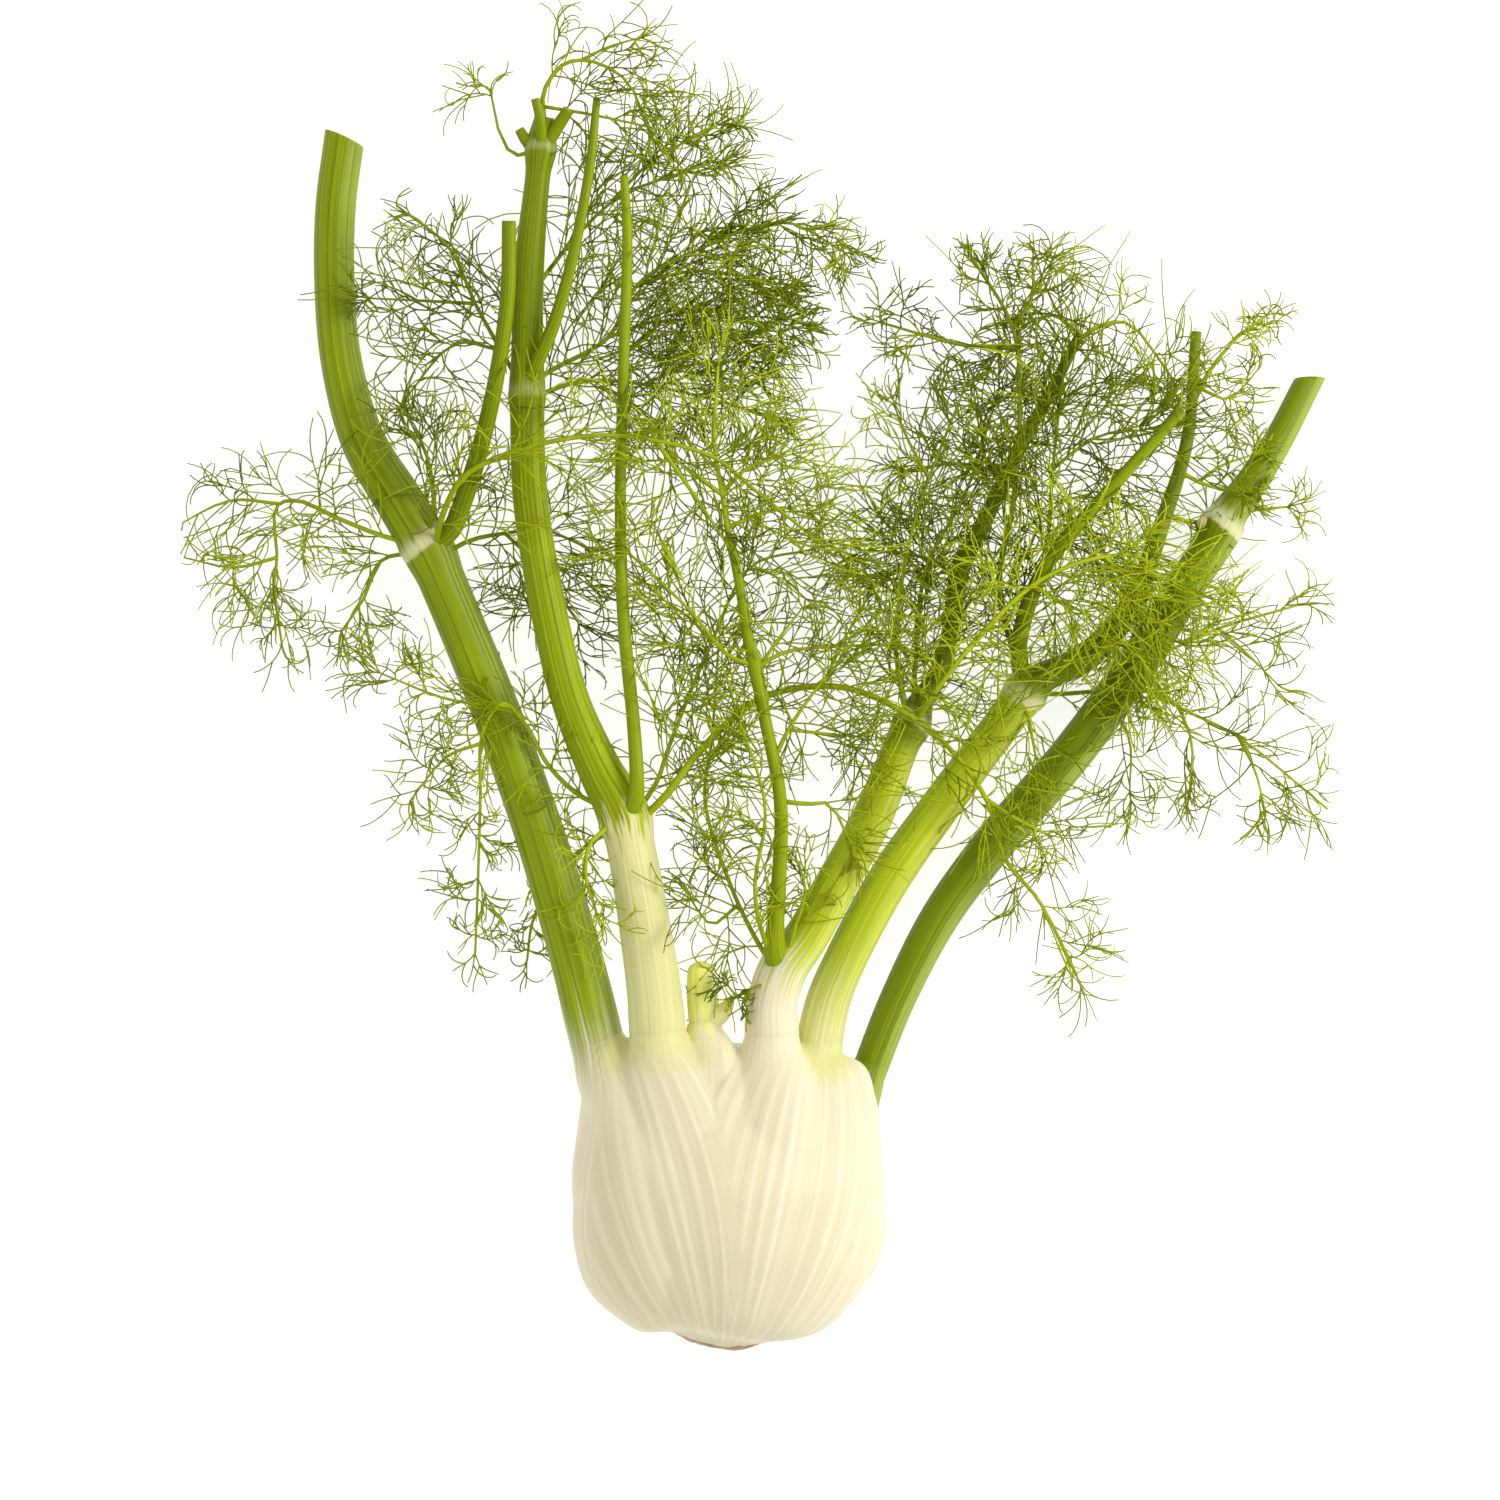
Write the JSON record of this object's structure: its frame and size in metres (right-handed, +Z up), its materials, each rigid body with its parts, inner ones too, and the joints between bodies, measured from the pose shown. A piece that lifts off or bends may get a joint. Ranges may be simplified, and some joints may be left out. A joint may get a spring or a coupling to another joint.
{
  "type": "fennel bulb",
  "caption": "Whole fennel lying down: a ribbed white bulb of overlapping leaf bases, cut green stalks and feathery fronds.",
  "frame": {"origin": "centre of the flat spot under the bulb, on the surface that the fennel lies on", "axes": "+Y from the bulb toward the stalk tips, +Z up from the surface"},
  "size_m": [0.3519, 0.404, 0.0661],
  "materials": {
    "bulb": "satin, smooth and slightly waxy",
    "outer_stalk": "satin, finely ribbed",
    "pale_stalk": "satin, finely ribbed",
    "stub": "satin",
    "frond": "satin"
  },
  "bodies": {
    "root": {"stalk_left": "outer_stalk", "stalk_tall": "pale_stalk", "stub": "stub", "stalk_inner": "pale_stalk", "stalk_right": "pale_stalk", "stalk_outer": "outer_stalk", "bulb": "bulb", "left_long": "frond", "left_drop": "frond", "left_up": "frond", "arch": "frond", "inner_left": "frond", "crown_left": "frond", "top": "frond", "top_left": "frond", "tall_high": "frond", "tall_long": "frond", "tall_low": "frond", "low_left": "frond", "low_front": "frond", "low_behind": "frond", "middle_rise": "frond", "middle_arch": "frond", "inner_left_thin": "frond", "inner_front_thin": "frond", "inner_short": "frond", "inner_curl": "frond", "upright_left": "frond", "upright_right": "frond", "upright_top": "frond", "upright_side": "frond", "upright_low": "frond", "inner_high_left": "frond", "inner_high_right": "frond", "inner_plume": "frond", "inner_mid": "frond", "inner_upper": "frond", "inner_tip": "frond", "right_high": "frond", "right_inner": "frond", "right_low": "frond", "fork_behind": "frond", "joint_behind": "frond", "fork_low": "frond", "fork_high": "frond", "fork_side": "frond"}
  },
  "joints": []
}
